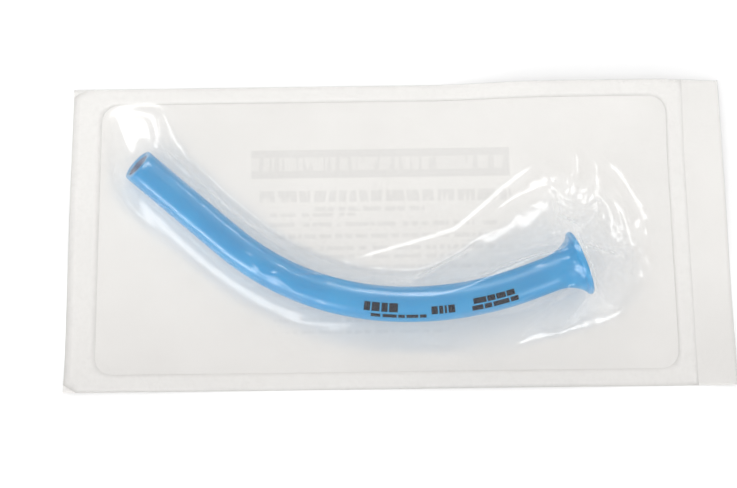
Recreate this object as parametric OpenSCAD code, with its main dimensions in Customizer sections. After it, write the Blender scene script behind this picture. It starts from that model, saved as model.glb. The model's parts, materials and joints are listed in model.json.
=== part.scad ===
// Nasopharyngeal airway, 30 Fr, in its sealed peel pouch of paper and clear film.
// Millimetres. Origin at the centre of the pouch's underside, +X towards the end where
// the peel starts and the airway's flange lies, +Z up through the film.

/* [Pouch] */
// Length of the pouch along X
pouch_l = 190; // [186:1:220]
// Width of the pouch along Y
pouch_w = 90; // [88:1:120]
// Thickness of the paper backing
paper_t = 0.15; // [0.12:0.01:0.3]
// Thickness of the heat-seal coating
seal_t = 0.03; // [0.02:0.01:0.1]
// Thickness of the clear film
film_t = 0.12; // [0.1:0.01:0.3]
// Width of the seal along the two long sides
side_seal = 5; // [3:0.5:6]
// Width of the seal across the end behind the tip
tip_seal = 8.5; // [4:0.5:9]
// Width of the seal across the end in front of the flange
bell_seal = 5; // [3:0.5:8]
// Length of the unsealed flap where the peel starts
peel_flap = 11; // [6:1:14]
// Radius of the inner corners of the seal
seal_corner = 5; // [2:1:8]

/* [Airway] */
// Outside diameter of the shaft (30 Fr)
tube_d = 10; // [9:0.1:10.4]
// Diameter of the lumen
lumen_d = 7.5; // [6.5:0.1:8]
// Length of the straight stretch at the tip, to the end of its longest wall
tip_len = 37.5; // [30:0.5:38]
// Angle of the cut across the tip, from square
bevel = 30; // [10:1:40]
// Radius of the bend next to the tip
bend_r1 = 78; // [74:1:82]
// Angle of the bend next to the tip
bend_a1 = 35.5; // [30:0.5:38]
// Radius of the bend next to the flange
bend_r2 = 96; // [90:1:104]
// Angle of the bend next to the flange
bend_a2 = 25.5; // [20:0.5:28]
// Length of the straight neck behind the flange
neck_len = 6; // [5:0.5:8]
// Outside diameter of the flange's rim
rim_d = 18.6; // [16:0.2:20]
// Radius of the flange's flare, on its outside
flare_r = 10; // [8:0.5:12]

/* [Film tent] */
// Half-width of the tent's foot along the shaft
foot = 10.6; // [9.5:0.1:12]
// Reach of the tent's foot beside the rim, towards +Y
rim_foot_left = 32; // [16:1:34]
// Reach of the tent's foot beside the rim, towards -Y
rim_foot_right = 17; // [15:1:22]
// Length of the film's slope past the tip
tip_slope = 11; // [9:0.5:12]
// Length of the film's slope past the rim
rim_slope = 17; // [12:1:20]
// Distance before the rim at which the film leaves the shaft and rises to the rim
lift_off = 48; // [40:1:60]

/* [Hidden] */
tube_r = tube_d / 2;
lumen_r = lumen_d / 2;
wall = tube_r - lumen_r;
rim_r = rim_d / 2;
// The rim's lip is a bead, a little thicker than the wall
lip_r = wall / 2 + 0.2;

// The airway lies with its straight tip flat on the paper. Its own plane is turned up about the
// tip's axis until the rim rests on the paper too. bend_start is where the tip's stretch ends.
lay_gap = 0.15;
tip_heading = -41;
bend_start = [-48.4, -2.7];
axis_z = paper_t + lay_gap + tube_r;

// Lengths along the axis, counted from bend_start towards the flange
bend_l1 = bend_r1 * bend_a1 * PI / 180;
bend_l2 = bend_r2 * bend_a2 * PI / 180;
bends_l = bend_l1 + bend_l2;
flare_middle = flare_r + wall / 2;
flare_a = acos((tube_r + flare_r - rim_r + lip_r) / flare_middle);
flare_l = flare_middle * sin(flare_a);
rim_s = bends_l + neck_len + flare_l;

// Point on the airway's axis in its own plane, with the heading there: [x, y, heading]
function ahead(p, d) = [p[0] + d * cos(p[2]), p[1] + d * sin(p[2]), p[2]];
function turned(p, r, a) = [
    p[0] + r * (sin(p[2] + a) - sin(p[2])),
    p[1] + r * (cos(p[2]) - cos(p[2] + a)),
    p[2] + a
];
function axis_at(s) =
    s < 0 ? [s, 0, 0]
    : s <= bend_l1 ? turned([0, 0, 0], bend_r1, s / bend_r1 * 180 / PI)
    : s <= bends_l ? turned(axis_at(bend_l1), bend_r2, (s - bend_l1) / bend_r2 * 180 / PI)
    : ahead(axis_at(bends_l), s - bends_l);
tilt = asin((rim_r - tube_r) / axis_at(rim_s)[1]);

// The same point in the pouch's frame, [x, y, z], and the heading seen from above
function laid(s) = let (
    p = axis_at(s),
    y = p[1] * cos(tilt)
) [
    bend_start[0] + p[0] * cos(tip_heading) - y * sin(tip_heading),
    bend_start[1] + p[0] * sin(tip_heading) + y * cos(tip_heading),
    axis_z + p[1] * sin(tilt)
];
function heading(s) = tip_heading + axis_at(s)[2];

// The airway's three stretches meet end to end with a hair's breadth between them. Of the two bends,
// the second is a touch thinner on each face of its wall, and starts inside the first.
stretch_gap = 0.01;
step_in = 0.02;
reach_in = 0.2;

// Levels of the film where it lies flat
film_low = paper_t + seal_t;
film_top = film_low + film_t;
film_gap = 0.5;

// Print: ink thickness, and the rows of the label on the paper's underside
ink_t = 0.04;
label_t = 0.03;
label_x = -43;
label_right = 33;

// ---- Airway ----

// Puts a child, drawn in the airway's own plane, where the airway lies on the paper
module lay_airway() {
    translate([bend_start[0], bend_start[1], axis_z])
        rotate([0, 0, tip_heading])
            rotate([tilt, 0, 0])
                children();
}

// Sweeps a flat section along a bend that starts at distance s from bend_start, less the length
// before
module bend_sweep(s, r, a, before = 0) {
    p = axis_at(s);
    more = before / r * 180 / PI;
    translate([p[0], p[1], 0])
        rotate([0, 0, p[2]])
            translate([0, r, 0])
                rotate([0, 0, -90 - more])
                    rotate_extrude(angle = a + more, $fn = 180)
                        translate([r, 0])
                            children();
}

// Wall of the shaft in section, thinned on both faces by inset
module ring(inset) {
    difference() {
        circle(tube_r - inset, $fn = 64);
        circle(lumen_r + inset, $fn = 64);
    }
}

// Straight neck and trumpet flange in section, with the axis along Y
module flange_section() {
    reach = 2 * (flare_r + wall);
    translate([lumen_r, stretch_gap - neck_len]) square([wall, neck_len - stretch_gap]);
    translate([tube_r + flare_r, 0]) {
        intersection() {
            difference() {
                circle(flare_r + wall, $fn = 96);
                circle(flare_r, $fn = 96);
            }
            polygon([[0, 0], [-reach, 0], [-reach, reach * tan(flare_a)]]);
        }
        translate([-flare_middle * cos(flare_a), flare_middle * sin(flare_a)])
            circle(lip_r, $fn = 32);
    }
}

// Everything past the slanting cut across the tip, which faces up
module past_the_bevel() {
    block = 4 * tube_d;
    translate([-tip_len, 0, -tube_r])
        rotate([0, bevel, 0])
            translate([-block, -block / 2, -block / 2])
                cube(block);
}

module airway_tip() {
    color("steelblue")
        lay_airway()
            difference() {
                translate([-tip_len, 0, 0])
                    rotate([0, 90, 0])
                        linear_extrude(tip_len - stretch_gap)
                            ring(0);
                past_the_bevel();
            }
}

module airway_shaft() {
    color("steelblue")
        lay_airway() {
            bend_sweep(0, bend_r1, bend_a1) ring(0);
            bend_sweep(bend_l1, bend_r2, bend_a2, reach_in) ring(step_in);
        }
}

module airway_flange() {
    p = axis_at(bends_l + neck_len);
    color("steelblue")
        lay_airway()
            translate([p[0], p[1], 0])
                rotate([0, 0, p[2]])
                    rotate([0, 90, 0])
                        rotate_extrude($fn = 96)
                            flange_section();
}

// One line of print along a bend: dashes for words, at an angle round the shaft from its top
// towards the outside of the bend. words holds [start, length] along the axis.
module print_line(words, round_a, height) {
    half = height / tube_r * 90 / PI;
    spoke = 2 * tube_r;
    for (word = words) {
        first = word[0] < bend_l1;
        r = first ? bend_r1 : bend_r2;
        bend_sweep(word[0], r, word[1] / r * 180 / PI)
            intersection() {
                difference() {
                    circle(tube_r + 0.01 + ink_t, $fn = 64);
                    circle(tube_r + 0.01, $fn = 64);
                }
                polygon([
                    [0, 0],
                    spoke * [sin(round_a - half), cos(round_a - half)],
                    spoke * [sin(round_a + half), cos(round_a + half)]
                ]);
            }
    }
}

module tip_side_print() {
    color("black")
        lay_airway() {
            print_line([[43.6, 1.7], [45.7, 2.2], [48.4, 1.7], [50.5, 2.4]], 20, 2.6);
            print_line([[45.6, 2.6], [48.8, 3.8], [53, 1.8], [55.2, 3.2], [58.8, 1.8]], 50, 1.2);
        }
}

module size_print() {
    color("black")
        lay_airway()
            print_line([[62, 1.7], [64.1, 1.1], [65.6, 0.6], [66.6, 1.8]], 31, 2.4);
}

module flange_side_print() {
    color("black")
        lay_airway() {
            print_line([[73.6, 3.6], [77.5, 2.2], [80, 2.6], [82.9, 2.3]], 18, 1.6);
            print_line([[73, 3], [76.4, 2], [78.8, 4.4], [83.6, 2.2]], 42, 1.6);
        }
}

// ---- Pouch ----

module rounded_rect(low, high, r) {
    size = high - low;
    translate([low[0] + r, low[1]]) square([size[0] - 2 * r, size[1]]);
    translate([low[0], low[1] + r]) square([size[0], size[1] - 2 * r]);
    for (x = [low[0] + r, high[0] - r], y = [low[1] + r, high[1] - r])
        translate([x, y]) circle(r, $fn = 48);
}

module seal_band() {
    seal_end = pouch_l / 2 - peel_flap;
    color("gainsboro")
        translate([0, 0, paper_t])
            linear_extrude(seal_t)
                difference() {
                    translate([-pouch_l / 2, -pouch_w / 2]) square([pouch_l - peel_flap, pouch_w]);
                    rounded_rect(
                        [-pouch_l / 2 + tip_seal, -pouch_w / 2 + side_seal],
                        [seal_end - bell_seal, pouch_w / 2 - side_seal],
                        seal_corner
                    );
                }
}

// A row of print on the label: words of the given lengths from x on, as plain bars
module word_row(x, y, height, words, space) {
    for (i = [0 : len(words) - 1]) {
        before = i == 0 ? 0 : [for (j = [0 : i - 1]) words[j] + space] * [for (j = [0 : i - 1]) 1];
        translate([x + before, y - height / 2, 0]) cube([words[i], height, label_t]);
    }
}

module title_bar_shape() {
    title_y = 21.3;
    title_h = 8.6;
    difference() {
        translate([label_x, title_y - title_h / 2, 0]) cube([label_right - label_x, title_h, label_t]);
        translate([0, 0, -label_t])
            linear_extrude(3 * label_t)
                for (word = [[-35, 26], [-5, 33]])
                    translate([word[0], title_y - 1.6]) square([word[1], 3.2]);
    }
}

module size_line_shape() {
    word_row(label_x, 11.6, 3.6, [13, 9, 15, 8, 12, 9], 2);
}

module text_lines_shape() {
    text_rows = [
        [7, [6, 11, 8, 15, 9, 7]],
        [3, [12, 7, 16, 8, 10]],
        [-0.5, [9, 14, 6, 17, 7]],
        [-4, [15, 8, 11, 7, 12]]
    ];
    for (row = text_rows)
        word_row(-37, row[0], 1.4, row[1], 2);
}

module small_print_shape() {
    for (row = [[-25, [9, 13, 7, 16, 11]], [-29, [14, 8, 12, 10]]])
        word_row(-37, row[0], 1, row[1], 2);
}

module paper_backing() {
    color("ivory")
        difference() {
            translate([-pouch_l / 2, -pouch_w / 2, 0]) cube([pouch_l, pouch_w, paper_t]);
            title_bar_shape();
            size_line_shape();
            text_lines_shape();
            small_print_shape();
        }
}

module label_title_bar() {
    color("dimgray") title_bar_shape();
}

module label_size_line() {
    color("dimgray") size_line_shape();
}

module label_text_lines() {
    color("dimgray") text_lines_shape();
}

module label_small_print() {
    color("dimgray") small_print_shape();
}

// ---- Film ----

// Stations of the tent over the shaft, as distances along the airway's axis. The upper wall of
// the tip ends where the bevel's cut reaches it, and the film starts to slope down there.
tip_s = -tip_len + tube_d * tan(bevel);
stations = [
    tip_s, tip_s / 2, 0,
    for (i = [1 : 14]) bends_l * i / 14,
    bends_l + neck_len, rim_s + lip_r
];
last = len(stations) - 1;

// How far the film has risen from the shaft towards the rim, 0 to 1
function risen(s) = min(max((s - rim_s + lift_off) / lift_off, 0), 1);
function blend(a, b, k) = a + (b - a) * k;
function crown_r(s) = blend(tube_r, rim_r, risen(s)) + film_gap;
function crown_z(s) = blend(laid(min(s, rim_s - lift_off))[2], laid(rim_s)[2], risen(s));

// Angle from the top at which a straight wall from a foot at distance d meets the crown
function wall_angle(s, d) = let (
    h = crown_z(s) - film_low
) 90 + atan(h / d) - acos(crown_r(s) / sqrt(h * h + d * d));

// Half of the tent's section at a station, from the foot to the top: [sideways, height, normal
// angle]. The height is above film_low.
crown_steps = 3;
function half_section(s, d) = let (
    a = wall_angle(s, d),
    r = crown_r(s),
    h = crown_z(s) - film_low
) [
    [d, 0, a / 2],
    for (i = [0 : crown_steps])
        let (b = a * (1 - i / crown_steps)) [r * sin(b), h + r * cos(b), b]
];
function mirrored(section) = [
    for (i = [len(section) - 2 : -1 : 0]) let (q = section[i]) [-q[0], q[1], -q[2]]
];
function left_foot(s) = blend(foot, rim_foot_left, pow(risen(s), 1.5));
function right_foot(s) = blend(foot, rim_foot_right, risen(s));
function section(s) = concat(half_section(s, left_foot(s)), mirrored(half_section(s, right_foot(s))));
across = 2 * crown_steps + 3;

// A section's points in the pouch's frame. It stands on the axis at s, moved on by past, with
// its width and height scaled, and its points moved out by grow, which makes the outer face.
function placed(s, past, wide, high, grow) = let (
    p = laid(s),
    a = heading(s),
    base = film_low + grow
) [
    for (q = section(s)) let (
        foot_point = abs(q[1]) < 1e-6,
        out = foot_point ? grow * tan(abs(q[2])) * sign(q[2]) : grow * sin(q[2]),
        up = foot_point ? 0 : grow * cos(q[2]) - grow,
        side = (q[0] + out) * wide
    ) [
        p[0] + past * cos(a) - side * sin(a),
        p[1] + past * sin(a) + side * cos(a),
        base + (q[1] + up) * high
    ]
];

// Rows of points: the slope past the tip, the tent, and the slope past the rim. Each end closes
// in a single point on the flat film. The slopes bulge, and the one past the tip bulges more, so
// that the film stays above the slanting cut.
slope_steps = [0.85, 0.6, 0.3];
tip_bulge = 3;
rim_bulge = 1.5;
function slope_wide(k) = sqrt(1 - k * k);
function tent_rows(grow) = concat(
    [for (k = slope_steps) placed(tip_s, -k * tip_slope, slope_wide(k), 1 - pow(k, tip_bulge), grow)],
    [for (s = stations) placed(s, 0, 1, 1, grow)],
    [
        for (i = [len(slope_steps) - 1 : -1 : 0]) let (k = slope_steps[i])
            placed(stations[last], k * rim_slope, slope_wide(k), 1 - pow(k, rim_bulge), grow)
    ]
);
rows = last + 1 + 2 * len(slope_steps);
function end_point(s, past, grow) = let (
    p = laid(s),
    a = heading(s)
) [p[0] + past * cos(a), p[1] + past * sin(a), film_low + grow];
function flat(list) = [for (part = list) for (item = part) item];

// One face of the film: the tent's points, its two end points, and the points round the edge
// of the sheet. The left half of the edge runs from the short side behind the tip, over the
// corner and along the long side, level with the tent's foot, to the short side in front of the
// flange. The right half starts and ends at the left half's first and last points.
function long_side(tent, j, y, z) = [
    for (i = [0 : rows - 1]) [
        i == 0 ? -pouch_l / 2 : i == rows - 1 ? pouch_l / 2 : tent[i][j][0],
        y, z
    ]
];
function face_points(grow) = let (
    tent = tent_rows(grow),
    tip_end = end_point(tip_s, -tip_slope - grow, grow),
    rim_end = end_point(stations[last], rim_slope + grow, grow),
    z = film_low + grow
) concat(
    flat(tent),
    [tip_end, rim_end, [-pouch_l / 2, tip_end[1], z]],
    long_side(tent, 0, pouch_w / 2, z),
    [[pouch_l / 2, rim_end[1], z]],
    long_side(tent, across - 1, -pouch_w / 2, z)
);
grid = rows * across;
left_edge = grid + 2;
right_edge = left_edge + rows + 2;
per_face = right_edge + rows;

// Indices of the points along the tent's foot and along the sheet's edge, for i from 0 to rows + 1
function foot_index(i, side) =
    i == 0 ? grid
    : i == rows + 1 ? grid + 1
    : (i - 1) * across + side * (across - 1);
function edge_index(i, side) = side == 0 || i == 0 || i == rows + 1 ? left_edge + i : right_edge + i - 1;

// Triangles seen from above, clockwise. start is the index of the face's first point.
function tent_faces(start) = concat(
    [
        for (i = [0 : rows - 2], j = [0 : across - 2]) let (a = start + i * across + j)
            each [[a, a + across, a + 1], [a + 1, a + across, a + across + 1]]
    ],
    [for (j = [0 : across - 2]) [start + grid, start + j, start + j + 1]],
    [
        for (j = [0 : across - 2]) let (a = start + (rows - 1) * across + j)
            [a, start + grid + 1, a + 1]
    ]
);
function flat_faces(start) = [
    for (i = [0 : rows]) let (
        a = start + foot_index(i, 0), b = start + foot_index(i + 1, 0),
        c = start + edge_index(i, 0), d = start + edge_index(i + 1, 0),
        e = start + foot_index(i, 1), f = start + foot_index(i + 1, 1),
        g = start + edge_index(i, 1), h = start + edge_index(i + 1, 1)
    ) each [[a, c, b], [b, c, d], [e, f, g], [f, h, g]]
];
function reversed(face) = [for (i = [len(face) - 1 : -1 : 0]) face[i]];
rim_loop = concat(
    [for (i = [0 : rows + 1]) edge_index(i, 0)],
    [for (i = [rows : -1 : 1]) edge_index(i, 1)]
);

module clear_film() {
    count = len(rim_loop);
    skin = concat(tent_faces(per_face), flat_faces(per_face));
    under = [for (f = concat(tent_faces(0), flat_faces(0))) reversed(f)];
    edges = [
        for (i = [0 : count - 1]) let (a = rim_loop[i], b = rim_loop[(i + 1) % count])
            [a, b, b + per_face, a + per_face]
    ];
    color("lightcyan", 0.5)
        polyhedron(
            points = concat(face_points(0), face_points(film_t)),
            faces = concat(skin, under, edges),
            convexity = 6
        );
}

paper_backing();
seal_band();
clear_film();
airway_tip();
airway_shaft();
airway_flange();
tip_side_print();
size_print();
flange_side_print();
label_title_bar();
label_size_line();
label_text_lines();
label_small_print();
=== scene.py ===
"""Nasopharyngeal airway sealed in its peel pouch. The looks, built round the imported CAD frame.

Metres, Z up, in the CAD's own frame: the origin is the centre of the pouch's underside.
"""

import json
import math

import bpy
import numpy as np
from mathutils import Matrix, Vector, noise


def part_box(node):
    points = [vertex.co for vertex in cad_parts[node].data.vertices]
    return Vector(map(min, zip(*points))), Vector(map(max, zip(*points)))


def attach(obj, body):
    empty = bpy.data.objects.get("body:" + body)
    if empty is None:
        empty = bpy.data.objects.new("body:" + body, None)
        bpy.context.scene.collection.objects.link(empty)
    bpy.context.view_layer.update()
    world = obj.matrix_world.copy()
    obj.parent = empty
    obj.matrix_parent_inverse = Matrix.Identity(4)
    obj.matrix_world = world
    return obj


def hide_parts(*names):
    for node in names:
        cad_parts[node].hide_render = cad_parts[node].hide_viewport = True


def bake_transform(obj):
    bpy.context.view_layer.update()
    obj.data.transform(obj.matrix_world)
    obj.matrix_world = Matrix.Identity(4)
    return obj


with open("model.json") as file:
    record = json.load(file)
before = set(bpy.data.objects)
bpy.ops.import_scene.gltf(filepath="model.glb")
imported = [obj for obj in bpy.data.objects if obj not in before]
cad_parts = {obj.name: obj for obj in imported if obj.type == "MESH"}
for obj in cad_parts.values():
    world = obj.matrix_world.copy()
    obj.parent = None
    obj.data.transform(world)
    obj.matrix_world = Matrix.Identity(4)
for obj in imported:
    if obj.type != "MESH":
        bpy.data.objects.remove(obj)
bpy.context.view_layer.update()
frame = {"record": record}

MM = 0.001
RECORD = frame["record"]
MOUNTS = {m["name"]: m for m in RECORD["mounts"]}

# ---- Pouch: its outline and levels come from the frame ----
PAPER_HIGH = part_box("paper_backing")[1]
SEAL_LOW, SEAL_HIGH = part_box("seal_band")
HALF_L, HALF_W, PAPER_TOP = PAPER_HIGH
SEAL_TOP = SEAL_HIGH.z
FILM_T = 0.12 * MM
# The seal's width along the sides, at the tip end and at the flange end; its inner corners' radius
SIDE_SEAL = 5 * MM
TIP_SEAL = 8.5 * MM
FLANGE_SEAL = 5 * MM
SEAL_CORNER = 5 * MM
# The near left and the far right corner of the seal's inner outline
INNER_LOW = (SEAL_LOW.x + TIP_SEAL, SEAL_LOW.y + SIDE_SEAL)
INNER_HIGH = (SEAL_HIGH.x - FLANGE_SEAL, SEAL_HIGH.y - SIDE_SEAL)

# ---- Airway: the shape that the CAD design gives it. Its s runs along the axis, and is 0 where the
# straight part ends and the first bend starts ----
LUMEN_R = MOUNTS["airway_outlet"]["dims"]["r_mm"] * MM
TUBE_R = 5 * MM
WALL = TUBE_R - LUMEN_R
TIP_LEN = 37.5 * MM
BEVEL = math.radians(30)
BEND_R1, BEND_A1 = 78 * MM, math.radians(35.5)
BEND_R2, BEND_A2 = 96 * MM, math.radians(25.5)
NECK_LEN = MOUNTS["airway_inlet"]["dims"]["length_mm"] * MM
RIM_R = 9.3 * MM
FLARE_R = 10 * MM
LIP_R = WALL / 2 + 0.2 * MM
BEND_L1 = BEND_R1 * BEND_A1
BENDS_L = BEND_L1 + BEND_R2 * BEND_A2
NECK_END_S = BENDS_L + NECK_LEN
FLARE_MIDDLE = FLARE_R + WALL / 2
FLARE_A = math.acos((TUBE_R + FLARE_R - RIM_R + LIP_R) / FLARE_MIDDLE)
RIM_S = NECK_END_S + FLARE_MIDDLE * math.sin(FLARE_A)
LIP_END_S = RIM_S + LIP_R
TIP_TOP_S = -TIP_LEN + 2 * TUBE_R * math.tan(BEVEL)

# The airway's own plane, from the two mounts: X runs from the tip to the flange, Z is its upper side
INLET_AXIS = np.array(MOUNTS["airway_inlet"]["axis"])
AIRWAY_X = -np.array(MOUNTS["airway_outlet"]["axis"])
AIRWAY_Z = np.cross(AIRWAY_X, INLET_AXIS)
AIRWAY_Z /= np.linalg.norm(AIRWAY_Z)
AIRWAY_Y = np.cross(AIRWAY_Z, AIRWAY_X)


def plane_axis(s):
    """Points (x, y) and headings of the airway's axis in its own plane."""
    s = np.asarray(s, float)
    first = np.clip(s, 0, BEND_L1) / BEND_R1
    both = first + np.clip(s - BEND_L1, 0, BENDS_L - BEND_L1) / BEND_R2
    past = np.maximum(s - BENDS_L, 0)
    x = np.minimum(s, 0) + BEND_R1 * np.sin(first) + BEND_R2 * (np.sin(both) - np.sin(first))
    y = BEND_R1 * (1 - np.cos(first)) + BEND_R2 * (np.cos(first) - np.cos(both))
    return x + past * np.cos(both), y + past * np.sin(both), both


def plane_to_world(x, y):
    return np.multiply.outer(x, AIRWAY_X) + np.multiply.outer(y, AIRWAY_Y)


INLET_X, INLET_Y, _ = plane_axis(BENDS_L + NECK_LEN / 2)
BEND_START = np.array(MOUNTS["airway_inlet"]["pos_m"]) - plane_to_world(INLET_X, INLET_Y)


def axis_point(s):
    x, y, _ = plane_axis(s)
    return BEND_START + plane_to_world(x, y)


def axis_right(s):
    """The direction across the axis, towards the outside of the bends."""
    _, _, turn = plane_axis(s)
    return plane_to_world(np.sin(turn), -np.cos(turn))


def on_tube(s, r, angle):
    """Points at radius r round the axis. The angle runs from the top to the outside of the bends."""
    s, r, angle = np.broadcast_arrays(np.asarray(s, float), r, angle)
    out = np.cos(angle)[..., None] * AIRWAY_Z + np.sin(angle)[..., None] * axis_right(s)
    return axis_point(s) + r[..., None] * out


# ---- Meshes ----
def new_piece(name, points, faces, material, smooth=True):
    mesh = bpy.data.meshes.new(name)
    mesh.from_pydata([tuple(p) for p in points], [], [tuple(f) for f in faces])
    mesh.validate()
    mesh.update()
    if smooth:
        mesh.shade_smooth()
    else:
        mesh.shade_flat()
    piece = bpy.data.objects.new(name, mesh)
    bpy.context.scene.collection.objects.link(piece)
    mesh.materials.append(material)
    return piece


def grid_faces(rows, columns, start=0, wrap=False):
    """Quads between rows of points, each row with the same number of columns."""
    cells = columns if wrap else columns - 1
    i, j = np.meshgrid(np.arange(rows - 1), np.arange(cells), indexing="ij")
    a = start + i * columns + j
    b = start + i * columns + (j + 1) % columns
    return np.stack([a, b, b + columns, a + columns], -1).reshape(-1, 4)


def rectangle(half_x, half_y, z):
    """The corners of a level rectangle round the origin."""
    return [(-half_x, -half_y, z), (half_x, -half_y, z), (half_x, half_y, z), (-half_x, half_y, z)]


def thick_sheet(name, top, thickness, material):
    """A closed thin sheet under a grid of points, which runs counter-clockwise seen from above."""
    rows, columns = top.shape[:2]
    skin = grid_faces(rows, columns)
    upper = top.reshape(-1, 3)
    points = np.concatenate([upper, upper - thickness * grid_normals(top).reshape(-1, 3)])
    count = rows * columns
    index = np.arange(count).reshape(rows, columns)
    rim = np.concatenate([index[0, :-1], index[:-1, -1], index[-1, :0:-1], index[:0:-1, 0]])
    after = np.roll(rim, -1)
    sides = np.stack([rim, rim + count, after + count, after], -1)
    return new_piece(name, points, np.concatenate([skin, skin[:, ::-1] + count, sides]), material)


def grid_normals(top):
    """Unit normals at a grid's points. They point up on the whole."""
    along = np.gradient(top, axis=0)
    across = np.gradient(top, axis=1)
    normal = np.cross(along, across)
    normal /= np.linalg.norm(normal, axis=-1, keepdims=True)
    return normal * np.sign(normal[..., 2:3].mean())


def nearest_index(points, line):
    """The index of each point's nearest place on a line of points. Works in blocks, to save memory."""
    nearest = np.empty(len(points), int)
    for block in np.array_split(np.arange(len(points)), 60):
        nearest[block] = np.linalg.norm(points[block, None, :] - line[None, :, :], axis=2).argmin(1)
    return nearest


def smoothstep(x, low, high):
    t = np.clip((x - low) / (high - low), 0, 1)
    return t * t * (3 - 2 * t)


def field_noise(x, y, size, seed):
    """Smooth noise, about -1 to 1, over a plane. size is the width of its bumps."""
    flat = np.stack([np.ravel(x) / size, np.ravel(y) / size], -1)
    values = [noise.noise((float(u), float(v), seed)) for u, v in flat]
    return np.reshape(values, np.shape(x))


# ---- Materials ----
def new_material(name, **inputs):
    """A Principled material. Returns it with its nodes, links and shader."""
    material = bpy.data.materials.new(name)
    material.use_nodes = True
    nodes, links = material.node_tree.nodes, material.node_tree.links
    shader = nodes["Principled BSDF"]
    for key, value in inputs.items():
        shader.inputs[key.replace("_", " ")].default_value = value
    return material, nodes, links, shader


def add_node(nodes, kind, **inputs):
    node = nodes.new(kind)
    for key, value in inputs.items():
        node.inputs[key.replace("_", " ")].default_value = value
    return node


def ramp(nodes, links, source, stops):
    """A colour for each value of source, between stops of (value, colour)."""
    node = nodes.new("ShaderNodeValToRGB")
    while len(node.color_ramp.elements) < len(stops):
        node.color_ramp.elements.new(0.5)
    for element, (place, colour) in zip(node.color_ramp.elements, stops):
        element.position = place
        element.color = (*colour, 1)
    links.new(source, node.inputs["Fac"])
    return node.outputs["Color"]


def grey(v):
    return (v, v, v)


def feed(links, socket, value):
    """Gives a socket a number, or the output of another node."""
    if isinstance(value, (int, float)):
        socket.default_value = value
    else:
        links.new(value, socket)


def math_node(nodes, links, operation, *values):
    node = nodes.new("ShaderNodeMath")
    node.operation = operation
    for socket, value in zip(node.inputs, values):
        feed(links, socket, value)
    return node.outputs[0]


def mixed_shaders(nodes, links, share, shader, other):
    """A shader, with a share of another one over it."""
    mix = nodes.new("ShaderNodeMixShader")
    for socket, value in zip(mix.inputs, (share, shader, other)):
        feed(links, socket, value)
    return mix.outputs[0]


def object_coordinates(nodes):
    return nodes.new("ShaderNodeTexCoord").outputs["Object"]


def split(nodes, links, place):
    """A node with a place's X, Y and Z."""
    axes = nodes.new("ShaderNodeSeparateXYZ")
    links.new(place, axes.inputs[0])
    return axes


def add_bump(nodes, links, shader, height, strength, distance):
    bump = add_node(nodes, "ShaderNodeBump", Strength=strength, Distance=distance)
    links.new(height, bump.inputs["Height"])
    links.new(bump.outputs["Normal"], shader.inputs["Normal"])


def soft_blue_plastic():
    material, nodes, links, shader = new_material(
        "soft_blue_plastic", Roughness=0.38, IOR=1.48, Coat_Weight=0.08, Coat_Roughness=0.2,
        Subsurface_Weight=0.2, Subsurface_Scale=0.002,
    )
    shader.inputs["Subsurface Radius"].default_value = (0.3, 0.8, 1.0)
    place = object_coordinates(nodes)
    clouds = add_node(nodes, "ShaderNodeTexNoise", Scale=90, Detail=3, Roughness=0.5)
    links.new(place, clouds.inputs["Vector"])
    tint = ramp(nodes, links, clouds.outputs["Fac"], [
        (0.3, (0.002, 0.25, 0.53)), (0.7, (0.005, 0.29, 0.58)),
    ])
    links.new(tint, shader.inputs["Base Color"])
    grain = add_node(nodes, "ShaderNodeTexNoise", Scale=2500, Detail=2)
    links.new(place, grain.inputs["Vector"])
    add_bump(nodes, links, shader, grain.outputs["Fac"], 0.12, 0.0001)
    return material


def lumen_painted_shade():
    """The same plastic, darkened inside the bore as painted shade, where little light gets in."""
    material, nodes, links, shader = new_material("lumen_painted_shade", Roughness=0.6, IOR=1.15)
    clouds = add_node(nodes, "ShaderNodeTexNoise", Scale=200, Detail=3)
    links.new(object_coordinates(nodes), clouds.inputs["Vector"])
    tint = ramp(nodes, links, clouds.outputs["Fac"], [(0.3, (0, 0.05, 0.17)), (0.7, (0, 0.08, 0.25))])
    links.new(tint, shader.inputs["Base Color"])
    return material


def pad_printed_ink():
    material, nodes, links, shader = new_material("pad_printed_ink", Roughness=0.8, IOR=1.08)
    speckle = add_node(nodes, "ShaderNodeTexNoise", Scale=4000, Detail=2)
    links.new(object_coordinates(nodes), speckle.inputs["Vector"])
    tone = ramp(nodes, links, speckle.outputs["Fac"], [
        (0.35, (0.001, 0.002, 0.008)), (0.7, (0.002, 0.006, 0.018)),
    ])
    links.new(tone, shader.inputs["Base Color"])
    return material


def mixed(nodes, links, share, colour, other):
    """A colour, with a share of another one over it."""
    mix = nodes.new("ShaderNodeMix")
    mix.data_type = "RGBA"
    links.new(share, mix.inputs["Factor"])
    links.new(colour, mix.inputs["A"])
    mix.inputs["B"].default_value = other
    return mix.outputs["Result"]


def near_edge_painted_shade(nodes, links, place, colour):
    """Painted shade: paper and seal are a little greyer towards the pouch's near edge."""
    fall = add_node(
        nodes, "ShaderNodeMapRange", From_Min=10 * MM, From_Max=-HALF_W, To_Min=0.0, To_Max=0.16,
    )
    links.new(split(nodes, links, place).outputs["Y"], fall.inputs["Value"])
    return mixed(nodes, links, fall.outputs[0], colour, (0.25, 0.22, 0.22, 1))


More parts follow.
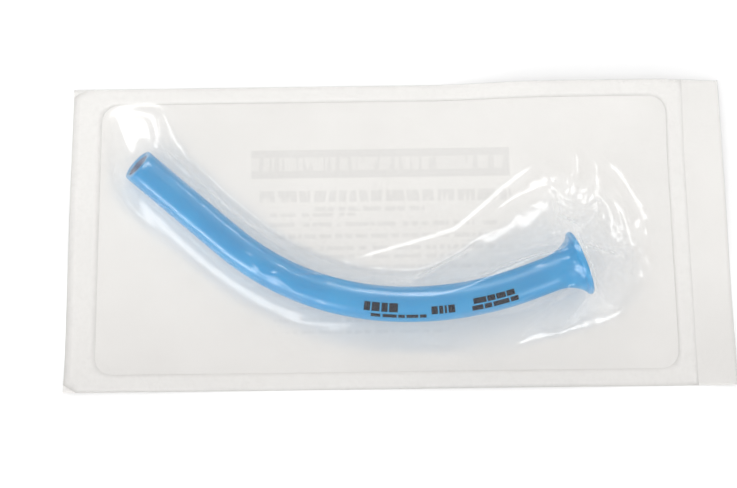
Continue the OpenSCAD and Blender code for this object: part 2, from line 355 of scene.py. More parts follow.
def medical_paper():
    material, nodes, links, shader = new_material("medical_paper", Roughness=0.85, IOR=1.4)
    shader.inputs["Specular IOR Level"].default_value = 0.25
    place = object_coordinates(nodes)
    fibres = add_node(nodes, "ShaderNodeTexNoise", Scale=700, Detail=6, Roughness=0.7)
    links.new(place, fibres.inputs["Vector"])
    clouds = add_node(nodes, "ShaderNodeTexNoise", Scale=35, Detail=3)
    links.new(place, clouds.inputs["Vector"])
    both = math_node(nodes, links, "ADD", fibres.outputs["Fac"], clouds.outputs["Fac"])
    tone = ramp(nodes, links, math_node(nodes, links, "MULTIPLY", both, 0.5), [
        (0.35, (0.85, 0.825, 0.80)), (0.65, (0.91, 0.885, 0.86)),
    ])
    print_shows = mixed(nodes, links, show_through(nodes, links, place), tone, (0.33, 0.32, 0.32, 1))
    # Painted shade on the paper, greyer towards the near edge
    links.new(near_edge_painted_shade(nodes, links, place, print_shows), shader.inputs["Base Color"])
    add_bump(nodes, links, shader, fibres.outputs["Fac"], 0.25, 0.0001)
    return material


# Rows of the label as they show through the paper: (x from, x to, y from, y to, strength), in mm
LABEL_ROWS = [
    (-24, 8, 6.9, 8.3, 0.12),
    (-40, 33, 9.8, 13.2, 0.13),
    (-37, 33, 2.4, 3.7, 0.12),
    (-37, -12, 5.4, 6.5, 0.12),
    (-37, 30, -1.1, 0.2, 0.12),
    (-37, 33, -4.6, -3.4, 0.12),
    (-37, 20, -7.1, -6, 0.1),
    (-37, 33, -10.1, -9, 0.1),
    (-36, 14, -18.1, -17, 0.1),
    (-36, 18, -22, -21, 0.1),
    (-36, 10, -25.6, -24.5, 0.1),
    (-36, 14, -29, -28, 0.1),
]
# The title bar in the same way, and the band inside it where its marks are left blank
TITLE_X, TITLE_Y = (-42.5, 33), (17, 25.6)
TITLE_BLANK_Y = (19.3, 23.3)
TITLE_STRENGTH = 0.15
TITLE_BLANK_LESS = 0.09


def between(nodes, links, value, low, high):
    """1 where a value in metres lies between two places in mm."""
    return math_node(nodes, links, "COMPARE", value, (low + high) / 2 * MM, (high - low) / 2 * MM)


def in_area(nodes, links, axes, x_range, y_range):
    """1 inside a rectangle given in mm."""
    in_x = between(nodes, links, axes.outputs["X"], *x_range)
    in_y = between(nodes, links, axes.outputs["Y"], *y_range)
    return math_node(nodes, links, "MULTIPLY", in_x, in_y)


def show_through(nodes, links, place):
    """How much of the label's ink shows through the paper: faint rows of blotches, no lettering."""
    axes = split(nodes, links, place)
    stretched = add_node(nodes, "ShaderNodeMapping", Scale=(1.6, 0.2, 1))
    links.new(place, stretched.inputs["Vector"])
    blots = add_node(nodes, "ShaderNodeTexNoise", Scale=420, Detail=0)
    links.new(stretched.outputs[0], blots.inputs["Vector"])
    marks = ramp(nodes, links, blots.outputs["Fac"], [(0.40, grey(0)), (0.46, grey(1))])
    rows = 0.0
    for *sides, strength in LABEL_ROWS:
        row = in_area(nodes, links, axes, sides[:2], sides[2:])
        rows = math_node(nodes, links, "MULTIPLY_ADD", row, strength, rows)
    text = math_node(nodes, links, "MULTIPLY", rows, marks)
    blank_band = between(nodes, links, axes.outputs["Y"], *TITLE_BLANK_Y)
    blank = math_node(nodes, links, "MULTIPLY", blank_band, marks)
    bar_strength = math_node(nodes, links, "MULTIPLY_ADD", blank, -TITLE_BLANK_LESS, TITLE_STRENGTH)
    bar = in_area(nodes, links, axes, TITLE_X, TITLE_Y)
    return math_node(nodes, links, "MULTIPLY_ADD", bar, bar_strength, text)


def label_ink():
    """The label's ink itself, on the paper's underside."""
    material, nodes, links, shader = new_material("label_ink", Roughness=0.6, IOR=1.45)
    speckle = add_node(nodes, "ShaderNodeTexNoise", Scale=1500, Detail=3)
    links.new(object_coordinates(nodes), speckle.inputs["Vector"])
    tone = ramp(nodes, links, speckle.outputs["Fac"], [
        (0.35, (0.03, 0.03, 0.035)), (0.7, (0.07, 0.07, 0.075)),
    ])
    links.new(tone, shader.inputs["Base Color"])
    return material


def seal_coating():
    material, nodes, links, shader = new_material("seal_coating", Roughness=0.4, IOR=1.45)
    place = object_coordinates(nodes)
    spots = add_node(nodes, "ShaderNodeTexVoronoi", Scale=900)
    links.new(place, spots.inputs["Vector"])
    tone = ramp(nodes, links, spots.outputs["Distance"], [
        (0.1, (0.855, 0.83, 0.805)), (0.6, (0.905, 0.88, 0.855)),
    ])
    # Painted shade on the seal, greyer towards the near edge
    links.new(near_edge_painted_shade(nodes, links, place, tone), shader.inputs["Base Color"])
    add_bump(nodes, links, shader, spots.outputs["Distance"], 0.2, 0.00005)
    return material


def clear_film():
    """Thin clear film: see-through, with a haze and a gloss that grow towards grazing angles."""
    material = bpy.data.materials.new("clear_film")
    material.use_nodes = True
    nodes, links = material.node_tree.nodes, material.node_tree.links
    nodes.clear()
    output = nodes.new("ShaderNodeOutputMaterial")
    place = object_coordinates(nodes)
    ripple = add_node(nodes, "ShaderNodeTexNoise", Scale=260, Detail=3, Roughness=0.5)
    links.new(place, ripple.inputs["Vector"])
    bump = add_node(nodes, "ShaderNodeBump", Strength=0.1, Distance=0.0002)
    links.new(ripple.outputs["Fac"], bump.inputs["Height"])
    clear = add_node(nodes, "ShaderNodeBsdfTransparent", Color=(0.982, 0.985, 0.985, 1))
    haze = add_node(nodes, "ShaderNodeBsdfDiffuse", Color=(0.93, 0.93, 0.93, 1))
    glow = add_node(nodes, "ShaderNodeBsdfTranslucent", Color=(0.93, 0.93, 0.93, 1))
    gloss = add_node(nodes, "ShaderNodeBsdfGlossy", Roughness=0.2)
    facing = add_node(nodes, "ShaderNodeLayerWeight", Blend=0.5)
    for node in (gloss, haze, glow, facing):
        links.new(bump.outputs["Normal"], node.inputs["Normal"])
    grazing = math_node(nodes, links, "POWER", facing.outputs["Facing"], 4.3)
    gloss_share = math_node(nodes, links, "MULTIPLY_ADD", grazing, 0.85, 0.028)
    steep = math_node(nodes, links, "POWER", facing.outputs["Facing"], 3)
    haze_share = math_node(nodes, links, "MULTIPLY_ADD", steep, 0.7, 0.012)
    scatter = mixed_shaders(nodes, links, 0.2, haze.outputs[0], glow.outputs[0])
    milky = mixed_shaders(nodes, links, haze_share, clear.outputs[0], scatter)
    glossy = mixed_shaders(nodes, links, gloss_share, milky, gloss.outputs[0])
    links.new(glossy, output.inputs["Surface"])
    return material


def pale_floor():
    material, nodes, links, shader = new_material("pale_floor", Roughness=0.9)
    clouds = add_node(nodes, "ShaderNodeTexNoise", Scale=6, Detail=2)
    links.new(object_coordinates(nodes), clouds.inputs["Vector"])
    tone = ramp(nodes, links, clouds.outputs["Fac"], [(0.3, grey(0.885)), (0.7, grey(0.905))])
    links.new(tone, shader.inputs["Base Color"])
    return material


# ---- The pouch's own lie: how far paper and film lift off the table together ----
def lie(x, y):
    """The paper bows up along the right half of its far edge, and its other edges wave a little."""
    x, y = np.asarray(x, float), np.asarray(y, float)
    bow = 3 * MM * smoothstep(x, 10 * MM, 45 * MM) * (1 - smoothstep(x, 75 * MM, 100 * MM))
    bow = bow * smoothstep(y, 14 * MM, 46 * MM) ** 1.5
    near = 0.9 * MM * smoothstep(-y, 34 * MM, 46 * MM) * (0.5 + 0.5 * np.sin(x / (17 * MM)))
    left = 0.8 * MM * smoothstep(-x, 84 * MM, 96 * MM) * (0.5 + 0.5 * np.sin(y / (11 * MM) + 1))
    right = 1.0 * MM * smoothstep(x, 82 * MM, 95 * MM) * (0.5 + 0.5 * np.sin(y / (13 * MM)))
    return bow + near + left + right


# ---- Paper and seal ----
# A gap too small to see, so that two surfaces never share a place
HAIR = 0.001 * MM


def make_paper():
    xs = np.linspace(-HALF_L, HALF_L, 191)
    ys = np.linspace(-HALF_W, HALF_W, 91)
    x, y = np.meshgrid(xs, ys, indexing="ij")
    top = np.stack([x, y, PAPER_TOP + lie(x, y)], -1)
    above_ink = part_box("label_title_bar")[1].z + HAIR
    return thick_sheet("paper_sheet", top, PAPER_TOP - above_ink, medical_paper())


def seal_loop(steps, spacing):
    """Points round the inner outline of the seal, with the matching points on its outer edge."""
    pairs = []
    corners = [(1, 1, 0), (-1, 1, 90), (-1, -1, 180), (1, -1, 270)]
    for sx, sy, start in corners:
        cx = (INNER_HIGH[0] - SEAL_CORNER) if sx > 0 else (INNER_LOW[0] + SEAL_CORNER)
        cy = sy * (INNER_HIGH[1] - SEAL_CORNER)
        reach_x = (SEAL_HIGH.x - cx) if sx > 0 else (cx - SEAL_LOW.x)
        reach_y = HALF_W - abs(cy)
        for k in range(steps + 1):
            a = math.radians(start + 90 * k / steps)
            c, s = math.cos(a), math.sin(a)
            reach = min(reach_x / max(abs(c), 1e-9), reach_y / max(abs(s), 1e-9))
            on_corner = (cx + SEAL_CORNER * c, cy + SEAL_CORNER * s)
            pairs.append((on_corner, (cx + reach * c, cy + reach * s)))
    inner, outer = [], []
    for (a, b), (c, d) in zip(pairs, pairs[1:] + pairs[:1]):
        parts = max(1, int(math.dist(a, c) / spacing))
        for k in range(parts):
            t = k / parts
            inner.append((a[0] + (c[0] - a[0]) * t, a[1] + (c[1] - a[1]) * t))
            outer.append((b[0] + (d[0] - b[0]) * t, b[1] + (d[1] - b[1]) * t))
    return np.array(inner), np.array(outer)


def make_seal():
    inner, outer = seal_loop(6, 2 * MM)
    rows = [inner + (outer - inner) * t for t in np.linspace(0, 1, 5)]
    flat = np.stack(rows)
    height = lie(flat[..., 0], flat[..., 1])
    top = np.concatenate([flat, (height + SEAL_TOP)[..., None]], -1)
    low = np.concatenate([flat, (height + PAPER_TOP + 2 * HAIR)[..., None]], -1)
    count, columns = top.shape[0] * top.shape[1], top.shape[1]
    skin = grid_faces(top.shape[0], columns, wrap=True)
    k = np.arange(columns)
    after = (k + 1) % columns
    last = (top.shape[0] - 1) * columns
    inside = np.stack([k, k + count, after + count, after], -1)[:, ::-1]
    outside = np.stack([last + k, last + k + count, last + after + count, last + after], -1)
    points = np.concatenate([top.reshape(-1, 3), low.reshape(-1, 3)])
    faces = np.concatenate([skin[:, ::-1], skin + count, inside[:, ::-1], outside[:, ::-1]])
    return new_piece("seal_lacquer_band", points, faces, seal_coating())


# ---- Airway ----
def flare_point(turn):
    """A point (s, r) on the outside of the flange, where its curve has turned by an angle."""
    return NECK_END_S + FLARE_R * math.sin(turn), TUBE_R + FLARE_R * (1 - math.cos(turn))


def airway_profile():
    """Points (s, r, past the cut) round the wall's section.

    They run from the tip along the outside, round the lip and back along the bore, then over the
    rounded edge of the tip.
    """
    shaft = np.concatenate([
        np.linspace(-TIP_LEN, 0, 24)[:-1], np.linspace(0, BENDS_L, 72)[:-1],
        np.linspace(BENDS_L, NECK_END_S, 5),
    ])
    back = math.sqrt(LIP_R ** 2 - (WALL / 2) ** 2) / FLARE_MIDDLE
    turns = np.linspace(0, FLARE_A - back, 14)[1:]
    outside = [(s, TUBE_R) for s in shaft]
    outside += [flare_point(a) for a in turns]
    lip_r = TUBE_R + FLARE_R - FLARE_MIDDLE * math.cos(FLARE_A)
    ahead = np.array([math.cos(FLARE_A), math.sin(FLARE_A)])
    normal = np.array([-math.sin(FLARE_A), math.cos(FLARE_A)])
    widest = math.pi - math.asin(WALL / 2 / LIP_R)
    lip = []
    for b in np.linspace(widest, -widest, 15):
        out = math.cos(b) * ahead + math.sin(b) * normal
        lip.append(tuple(np.array([RIM_S, lip_r]) + LIP_R * out))
    deep = FLARE_R + WALL
    inside = [
        (NECK_END_S + deep * math.sin(a), TUBE_R + FLARE_R - deep * math.cos(a)) for a in turns[::-1]
    ]
    inside += [(s, LUMEN_R) for s in shaft[::-1]]
    profile = [(s, r, 0) for s, r in outside + lip[1:-1] + inside]
    edge_r = WALL / 2
    for t in np.linspace(math.pi, 0, 9)[1:-1]:
        profile.append((-TIP_LEN, TUBE_R - edge_r + edge_r * math.cos(t), edge_r * math.sin(t)))
    return profile


def bevelled(s, height):
    """Moves a place near the tip on to the slanting cut. The move fades out along the shaft."""
    joined = TIP_TOP_S + 4 * MM
    cut = -TIP_LEN + (height + TUBE_R) * math.tan(BEVEL)
    share = (s + TIP_LEN) / (joined + TIP_LEN)
    return np.where(s < joined, cut + share * (joined - cut), s)


def make_airway(material):
    around = 72
    angle = np.linspace(0, 2 * math.pi, around, endpoint=False)
    profile = airway_profile()
    rows = []
    for s, r, past in profile:
        place = bevelled(np.full(around, s), r * np.cos(angle)) - past
        rows.append(on_tube(place, r, angle))
    points = np.stack(rows)
    count = len(rows)
    faces = grid_faces(count, around, wrap=True)
    first = np.arange(around)
    after = (first + 1) % around
    last = (count - 1) * around
    closing = np.stack([last + first, last + after, after, first], -1)
    piece = new_piece("soft_airway", points.reshape(-1, 3), np.concatenate([faces, closing]), material)
    piece.data.materials.append(lumen_painted_shade())
    # The bore's faces take the plastic with painted shade
    in_bore = [r < LUMEN_R + 0.05 * MM and past == 0 for _, r, past in profile]
    for face in piece.data.polygons:
        if all(in_bore[v // around] for v in face.vertices):
            face.material_index = 1
    return piece


# ---- Print on the airway: rows of plain blocks that stand for words ----
INK_LOW, INK_HIGH = TUBE_R + 0.004 * MM, TUBE_R + 0.03 * MM
# Rows of (blocks, angle in degrees, height); blocks holds (start, length) along the axis, in mm
PRINT_ROWS = {
    "tip_side_print": [
        ([(43.6, 1.7), (45.7, 2.2), (48.4, 1.7), (50.5, 2.4)], 20, 2.6),
        ([(45.6, 2.6), (48.8, 3.8), (53, 1.8), (55.2, 3.2), (58.8, 1.8)], 50, 1.2),
    ],
    "size_print": [([(62, 1.7), (64.1, 1.1), (65.6, 0.6), (66.6, 1.8)], 31, 2.4)],
    "flange_side_print": [
        ([(73.6, 3.6), (77.5, 2.2), (80, 2.6), (82.9, 2.3)], 18, 1.6),
        ([(73, 3), (76.4, 2), (78.8, 4.4), (83.6, 2.2)], 42, 1.6),
    ],
}


def make_print(name, rows, material):
    points, faces = [], []
    for blocks, degrees, height in rows:
        for start, length in blocks:
            span = (start * MM, (start + length) * MM)
            add_block(points, faces, span, math.radians(degrees), height * MM)
    return new_piece(name, points, faces, material, smooth=False)


def add_block(points, faces, span, middle, height):
    """One block, from span[0] to span[1] along the axis. It follows the shaft round."""
    angles = [middle - share * height / TUBE_R for share in np.linspace(0.5, -0.5, 4)]
    start = len(points)
    for r in (INK_HIGH, INK_LOW):
        for s in span:
            points.extend(on_tube(s, r, np.array(angles)))
    top = grid_faces(2, 4, start)
    under = grid_faces(2, 4, start + 8)
    rim = [start + k for k in (0, 1, 2, 3, 7, 6, 5, 4)]
    faces.extend(top)
    faces.extend(under[:, ::-1])
    for a, b in zip(rim, rim[1:] + rim[:1]):
        faces.append((b, a, a + 8, b + 8))


# ---- Film ----
# From the axis to where the film meets the paper: along the shaft, and on each side of the flange
FOOT = 10.6 * MM
RIM_FOOT_LEFT = 32 * MM
RIM_FOOT_RIGHT = 17 * MM
# How far the film slopes down past the tip and past the flange
TIP_SLOPE = 11 * MM
RIM_SLOPE = 17 * MM
# The film starts to rise towards the flange this far before the rim
LIFT_OFF = 48 * MM
# The tent's gap over the airway, its level on the seal, and the spacing of its points
FILM_GAP = 0.5 * MM
FILM_BASE = SEAL_TOP
FILM_STEP = 1.0 * MM
# The film comes loose over this width inside the seal's inner outline
SEAL_FADE = 5 * MM
# The film lies loose within this reach of a place just past the rim
DOME_SHIFT = (2 * MM, 8 * MM)
DOME_R = 26 * MM


def tent_height(x, y):
    """Height of the film over the airway: straight walls from the foot up to a round crown."""
    s_line = np.linspace(TIP_TOP_S, LIP_END_S, 700)
    line = axis_point(s_line)
    _, _, turn = plane_axis(s_line)
    heading = plane_to_world(np.cos(turn), np.sin(turn))[:, :2]
    heading /= np.linalg.norm(heading, axis=1, keepdims=True)
    flat = np.stack([x.ravel(), y.ravel()], -1)
    nearest = nearest_index(flat, line[:, :2])
    offset = flat - line[nearest, :2]
    along = (offset * heading[nearest]).sum(1)
    side = heading[nearest, 0] * offset[:, 1] - heading[nearest, 1] * offset[:, 0]
    s = s_line[nearest]
    tip_past = np.where(nearest == 0, np.maximum(-along, 0) / TIP_SLOPE, 0)
    rim_past = np.where(nearest == len(line) - 1, np.maximum(along, 0) / RIM_SLOPE, 0)
    past = np.clip(tip_past + rim_past, 0, 1)
    risen = np.clip((s - RIM_S + LIFT_OFF) / LIFT_OFF, 0, 1)
    crown_r = TUBE_R + (RIM_R - TUBE_R) * risen + FILM_GAP
    level = axis_point(np.minimum(s, RIM_S - LIFT_OFF))[:, 2]
    crown_z = level + (axis_point(RIM_S)[2] - level) * risen - FILM_BASE
    foot_left = FOOT + (RIM_FOOT_LEFT - FOOT) * risen ** 1.5
    foot_right = FOOT + (RIM_FOOT_RIGHT - FOOT) * risen
    foot = np.where(side > 0, foot_left, foot_right)
    wide = np.sqrt(np.maximum(1 - past ** 2, 1e-6))
    d = np.abs(side) / wide
    # A wall is the straight line from the foot that just touches the round crown
    leaning = np.arccos(crown_r / np.sqrt(crown_z ** 2 + foot ** 2))
    wall_a = math.pi / 2 + np.arctan(crown_z / foot) - leaning
    touch_d, touch_z = crown_r * np.sin(wall_a), crown_z + crown_r * np.cos(wall_a)
    round_z = crown_z + np.sqrt(np.maximum(crown_r ** 2 - d ** 2, 0))
    wall_z = touch_z * np.clip((foot - d) / np.maximum(foot - touch_d, 1e-6), 0, 1)
    z = np.where(d < touch_d, round_z, wall_z) * (1 - past ** 1.5)
    return np.where(past >= 1, 0, z).reshape(x.shape)


def blurred(z, passes):
    """A grid of values, smoothed a number of times with its neighbours."""
    for _ in range(passes):
        p = np.pad(z, 1, mode="edge")
        z = (p[:-2, 1:-1] + p[2:, 1:-1] + p[1:-1, :-2] + p[1:-1, 2:] + 4 * z) / 8
    return z


def ridge(x, y, points, height, width):
    """A crease in the film: a sharp ridge along straight runs between points, fading at both ends."""
    total = np.zeros_like(x)
    runs = [np.array(p) * MM for p in points]
    lengths = [np.linalg.norm(b - a) for a, b in zip(runs, runs[1:])]
    gone = 0
    for a, b, length in zip(runs, runs[1:], lengths):
        t = ((x - a[0]) * (b - a)[0] + (y - a[1]) * (b - a)[1]) / length ** 2
        t = np.clip(t, 0, 1)
        gap = np.hypot(x - a[0] - t * (b - a)[0], y - a[1] - t * (b - a)[1])
        k = (gone + t * length) / sum(lengths)
        fade = np.minimum(1, 6 * np.minimum(k, 1 - k))
        total = np.maximum(total, fade * np.exp(-gap / (width * MM)))
        gone += length
    return height * MM * total


def seal_share(x, y):
    """1 on the seal and beyond it, 0 well inside the pouch."""
    gap_x = np.minimum(x - INNER_LOW[0], INNER_HIGH[0] - x)
    gap_y = np.minimum(y - INNER_LOW[1], INNER_HIGH[1] - y)
    return 1 - smoothstep(np.minimum(gap_x, gap_y), 0, SEAL_FADE)


def dome_share(x, y):
    """1 where the film lies loose round the flange, 0 outside the dome."""
    rim = axis_point(RIM_S)
    reach = np.hypot((x - rim[0] - DOME_SHIFT[0]) / DOME_R, (y - rim[1] - DOME_SHIFT[1]) / DOME_R)
    return 1 - smoothstep(reach, 0.45, 1.0)


def corner_facet(x, y):
    """The flat slope that the film makes between the seal's far left corner and the airway's tip."""
    # The slope rises from the corner at 20 degrees, up to a slanting edge beside the airway's tip
    below = 0.3 * (x + 83 * MM) - 0.95 * (y - INNER_HIGH[1])
    rise = np.clip(below * math.tan(math.radians(20)), 0, 4.5 * MM)
    rise = rise * smoothstep(INNER_HIGH[1] - y, 0, 3 * MM)
    past_edge = smoothstep(x + 66 * MM + 0.45 * (y - 30 * MM), -3 * MM, 2 * MM)
    window = smoothstep(x, -85 * MM, -79 * MM) * (1 - past_edge) * smoothstep(y, 17 * MM, 23 * MM)
    return rise * window


def film_start(x, y):
    """Heights from which the film settles: the tent, slack in the dome, and a little air elsewhere."""
    slack = 2 * MM + MM * field_noise(x, y, 11 * MM, seed=5.0)
    air = 0.12 * MM * (1 + field_noise(x, y, 12 * MM, seed=3.0))
    tent = blurred(np.maximum(tent_height(x, y), corner_facet(x, y)), 3)
    return FILM_BASE + 0.1 * MM + tent + dome_share(x, y) * slack + (1 - seal_share(x, y)) * air


def add_plain(name, points, faces):
    """An object for the simulation only, with no material."""
    mesh = bpy.data.meshes.new(name)
    mesh.from_pydata([tuple(p) for p in points], [], [tuple(f) for f in faces])
    mesh.update()
    plain = bpy.data.objects.new(name, mesh)
    bpy.context.scene.collection.objects.link(plain)
    return plain


def add_collider(name, points, faces):
    collider = add_plain(name, points, faces)
    collider.modifiers.new("collision", "COLLISION")
    collider.collision.thickness_outer = 0.002
    collider.collision.thickness_inner = 0.05
    collider.collision.cloth_friction = 3
    return collider


# The film settles as cloth at this scale, because Blender's cloth is made for bigger things
SIM_SCALE = 10
SIM_FRAMES = 24
# Half the sides of the stop that stands for the paper, and how far it lies below the film's level
STOP_X, STOP_Y, STOP_DROP = 1.2, 0.8, 0.004


def airway_collider():
    """The airway's outside, closed at both ends, at the simulation's scale."""
    around = 32
    angle = np.linspace(0, 2 * math.pi, around, endpoint=False)
    sections = [(s, TUBE_R) for s in np.linspace(-TIP_LEN, NECK_END_S, 90)]
    sections += [flare_point(a) for a in np.linspace(0, FLARE_A, 12)[1:]]
    sections.append((LIP_END_S, RIM_R))
    rows = [on_tube(bevelled(np.full(around, s), r * np.cos(angle)), r, angle) for s, r in sections]
    faces = [tuple(f) for f in grid_faces(len(rows), around, wrap=True)]
    faces.append(tuple(range(around))[::-1])
    faces.append(tuple(range((len(rows) - 1) * around, len(rows) * around)))
    return add_collider("airway_stop", np.concatenate(rows) * SIM_SCALE, faces)


def settled(top, pinned):
    """Lets the film fall on to the airway and the paper as cloth, and returns its points."""
    rows, columns = top.shape[:2]
    sheet = add_plain("settling_film", top.reshape(-1, 3) * SIM_SCALE, grid_faces(rows, columns))
    group = sheet.vertex_groups.new(name="sealed")
    group.add([int(i) for i in np.nonzero(pinned.ravel())[0]], 1.0, "REPLACE")
    level = FILM_BASE * SIM_SCALE - STOP_DROP
    stops = [
        airway_collider(),
        add_collider("paper_stop", rectangle(STOP_X, STOP_Y, level), [(0, 1, 2, 3)]),
    ]
    cloth = sheet.modifiers.new("cloth", "CLOTH")
    made = cloth.settings
    made.quality = 5
    made.mass = 0.1
    made.tension_stiffness = made.compression_stiffness = 60
    made.shear_stiffness = 30
    made.bending_stiffness = 0.4
    made.air_damping = 3
    made.vertex_group_mass = "sealed"
    cloth.collision_settings.distance_min = 0.003
    cloth.collision_settings.collision_quality = 3
    cloth.point_cache.frame_end = SIM_FRAMES
    for step in range(1, SIM_FRAMES + 1):
        bpy.context.scene.frame_set(step)
    shape = sheet.evaluated_get(bpy.context.evaluated_depsgraph_get())
    points = np.array([v.co for v in shape.data.vertices]).reshape(rows, columns, 3) / SIM_SCALE
    for spent in (sheet, *stops):
        bpy.data.objects.remove(spent)
    bpy.context.scene.frame_set(1)
    return points


def finer(points, times):
    """The same grid, with each cell cut into parts both ways on a smooth surface through the points."""
    for axis in (0, 1):
        count = points.shape[axis]
        place = np.linspace(0, count - 1, (count - 1) * times + 1)
        low = np.clip(place.astype(int), 0, count - 2)
        t = (place - low).reshape((-1, 1, 1) if axis == 0 else (1, -1, 1))
        p = [np.take(points, np.clip(low + k, 0, count - 1), axis=axis) for k in (-1, 0, 1, 2)]
        cubic = 3 * (p[1] - p[2]) + p[3] - p[0]
        square = 2 * p[0] - 5 * p[1] + 4 * p[2] - p[3]
        points = p[1] + 0.5 * t * (p[2] - p[0] + t * (square + t * cubic))
    return points


def outside_radius(s):
    """The airway's outside radius, s metres along its axis."""
    turn = np.arcsin(np.clip((s - NECK_END_S) / FLARE_R, 0, math.sin(FLARE_A)))
    return np.where(s > RIM_S - LIP_R, RIM_R, TUBE_R + FLARE_R * (1 - np.cos(turn)))


def clear_of_airway(points, gap):
    """Moves points that touch the airway straight out from its axis, until they clear it by a gap."""
    s_line = np.linspace(-TIP_LEN, LIP_END_S, 900)
    line = axis_point(s_line)
    _, _, turn = plane_axis(s_line)
    heading = plane_to_world(np.cos(turn), np.sin(turn))
    flat = points.reshape(-1, 3)
    near = nearest_index(flat, line)
    offset = flat - line[near]
    along = (offset * heading[near]).sum(1)
    out = offset - along[:, None] * heading[near]
    r = np.linalg.norm(out, axis=1)
    s = s_line[near] + along
    cut = -TIP_LEN + ((out * AIRWAY_Z).sum(1) + TUBE_R) * math.tan(BEVEL) - gap
    want = outside_radius(s) + gap
    touching = (r < want) & (s > cut) & (s < LIP_END_S + gap)
    push = np.where(touching, (want - r) / np.maximum(r, 1e-9), 0)
    return (flat + push[:, None] * out).reshape(points.shape)


# Creases in the film: (height, width, points), in mm
CREASES = [
    (0.9, 1.1, [(-16, -9), (-5, -6), (16.6, 0), (31.3, 12.6), (44.9, 23)]),
    (0.8, 1.5, [(26, 4), (34, 9.5), (47, 15), (51, 13)]),
    (0.7, 1.0, [(52, 24), (52, 17.5), (49, 9)]),
    (0.8, 1.2, [
        (55, 23), (59, 21.5), (64, 17), (67.5, 11), (70.5, 3.5), (68, -5), (60, -12), (54, -18),
    ]),
    (0.6, 1.0, [(58, 24), (57, 12), (57.5, 2)]),
    (0.6, 1.0, [(62, 9), (65, 0), (61, -9), (55, -14)]),
    (1.3, 0.9, [(48, -18), (43, -22), (34, -28)]),
    (1.0, 0.8, [(46, -22.5), (37, -28.5), (32, -33)]),
    (0.8, 0.8, [(-45, -7), (-41, -9), (-38, -13.5), (-34, -14), (-29, -19), (-22, -20.5)]),
    (0.6, 0.9, [(-34, -10.5), (-29, -14.5), (-21, -14), (-11, -16)]),
    (0.8, 0.9, [(-72, 31), (-68, 25.8), (-56, 13.6), (-46, 4.3), (-34, -4.7), (-26, -9)]),
]


def creases(x, y):
    """How far the film stands up along its creases."""
    total = np.zeros_like(x)
    for height, width, points in CREASES:
        total = np.maximum(total, ridge(x, y, points, height, width))
    return total


def crumple(x, y):
    """Small sharp folds: where two layers of smooth noise cross zero."""
    wide = 1 - np.abs(field_noise(x, y, 7 * MM, seed=11.0))
    fine = 1 - np.abs(field_noise(x, y, 3.5 * MM, seed=17.0))
    return 0.7 * MM * wide ** 3 + 0.25 * MM * fine ** 3


def make_film():
    xs = np.linspace(-HALF_L, HALF_L, round(2 * HALF_L / FILM_STEP) + 1)
    ys = np.linspace(-HALF_W, HALF_W, round(2 * HALF_W / FILM_STEP) + 1)
    x, y = np.meshgrid(xs, ys, indexing="ij")
    top = np.stack([x, y, film_start(x, y)], -1)
    top = settled(top, seal_share(x, y) > 0.6)
    inner = np.stack([blurred(top[..., k], 3) for k in range(3)], -1)
    top[2:-2, 2:-2] = inner[2:-2, 2:-2]
    top = finer(top, 2)
    x, y = top[..., 0], top[..., 1]
    free = 1 - seal_share(x, y)
    loose = 0.12 + 0.88 * dome_share(x, y)
    top[..., 2] = np.maximum(top[..., 2], FILM_BASE) + free * (creases(x, y) + loose * crumple(x, y))
    top = clear_of_airway(top, 0.3 * MM)
    top[..., 2] += lie(x, y) + FILM_T
    # Thinner than the CAD's film, so that its underside stays clear of the seal
    return thick_sheet("peel_film", top, FILM_T * 0.6, clear_film())


# ---- Stage ----
FLOOR_HALF = 3.0
FLOOR_Z = -0.02 * MM
# Fitted to the photo: azimuth, elevation and roll in degrees, then the place in metres
CAMERA_ANGLES = (1.0885, 77.0206, -1.8128)
CAMERA_PLACE = (-0.006716, -0.095732, 0.402954)


def make_stage():
    """The floor, and a sky that is brighter overhead than at the horizon."""
    corners = rectangle(FLOOR_HALF, FLOOR_HALF, FLOOR_Z)
    floor = new_piece("floor", corners, [(0, 1, 2, 3)], pale_floor())
    world = bpy.data.worlds.new("studio")
    bpy.context.scene.world = world
    world.use_nodes = True
    nodes, links = world.node_tree.nodes, world.node_tree.links
    axes = split(nodes, links, nodes.new("ShaderNodeTexCoord").outputs["Generated"])
    height = add_node(nodes, "ShaderNodeMapRange", From_Min=0.0, From_Max=0.6, To_Min=0.85, To_Max=1.17)
    links.new(axes.outputs["Z"], height.inputs["Value"])
    links.new(height.outputs[0], nodes["Background"].inputs["Strength"])
    nodes["Background"].inputs["Color"].default_value = (1, 1, 1, 1)


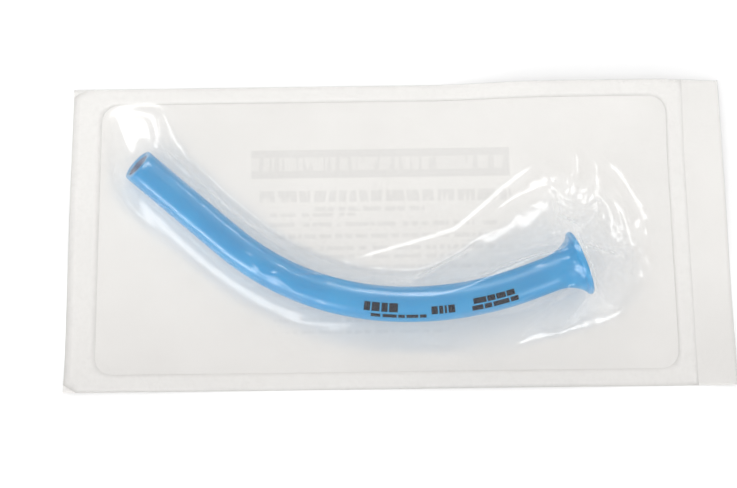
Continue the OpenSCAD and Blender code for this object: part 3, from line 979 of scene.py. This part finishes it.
def area_light(name, place, size, power, shades=True):
    """A softbox aimed at the pouch. One that doesn't shade shows only in glossy reflections."""
    light = bpy.data.lights.new(name, "AREA")
    light.shape = "RECTANGLE"
    light.size, light.size_y = size
    light.energy = power
    lamp = bpy.data.objects.new(name, light)
    bpy.context.scene.collection.objects.link(lamp)
    lamp.location = place
    lamp.rotation_euler = (-Vector(place)).to_track_quat("-Z", "Y").to_euler()
    lamp.visible_diffuse = shades


def make_camera():
    """Looks down at the pouch from a little in front of it, and is rolled a little."""
    azimuth, elevation, roll = (math.radians(d) for d in CAMERA_ANGLES)
    back = Vector((
        math.sin(azimuth) * math.cos(elevation),
        -math.cos(azimuth) * math.cos(elevation),
        math.sin(elevation),
    ))
    side = Vector((0, 0, 1)).cross(back).normalized()
    up = back.cross(side)
    turned_side = math.cos(roll) * side + math.sin(roll) * up
    turned_up = -math.sin(roll) * side + math.cos(roll) * up
    data = bpy.data.cameras.new("camera")
    data.lens = 70
    data.sensor_width = 36
    data.clip_start = 0.01
    camera = bpy.data.objects.new("camera", data)
    bpy.context.scene.collection.objects.link(camera)
    rotation = Matrix((turned_side, turned_up, back)).transposed()
    camera.matrix_world = Matrix.Translation(CAMERA_PLACE) @ rotation.to_4x4()
    bpy.context.scene.camera = camera


# ---- Build ----
make_camera()
make_stage()
area_light("near_left", (-0.75, -0.8, 0.28), (0.8, 0.3), 4.8)
area_light("far", (-0.35, 0.85, 0.72), (0.9, 0.5), 9, shades=False)
area_light("right", (0.7, 0.5, 0.55), (0.5, 0.35), 3, shades=False)
area_light("far_right", (0.5, 0.75, 0.42), (0.4, 0.15), 1.4, shades=False)
area_light("near_right", (0.6, -0.8, 0.4), (0.5, 0.35), 5, shades=False)

label = label_ink()
for node in ("label_title_bar", "label_size_line", "label_text_lines", "label_small_print"):
    bpy.data.objects[node].material_slots[0].material = label

plastic = soft_blue_plastic()
ink = pad_printed_ink()
airway = make_airway(plastic)
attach(airway, "airway")
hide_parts("airway_tip", "airway_shaft", "airway_flange")

for node, rows in PRINT_ROWS.items():
    marks = make_print(node + "_strokes", rows, ink)
    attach(marks, "airway")
    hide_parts(node)

paper = make_paper()
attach(paper, "backing")
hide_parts("paper_backing")

seal = make_seal()
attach(seal, "backing")
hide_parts("seal_band")

film = make_film()
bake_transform(film)
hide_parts("clear_film")

bpy.context.scene.view_settings.view_transform = "Standard"
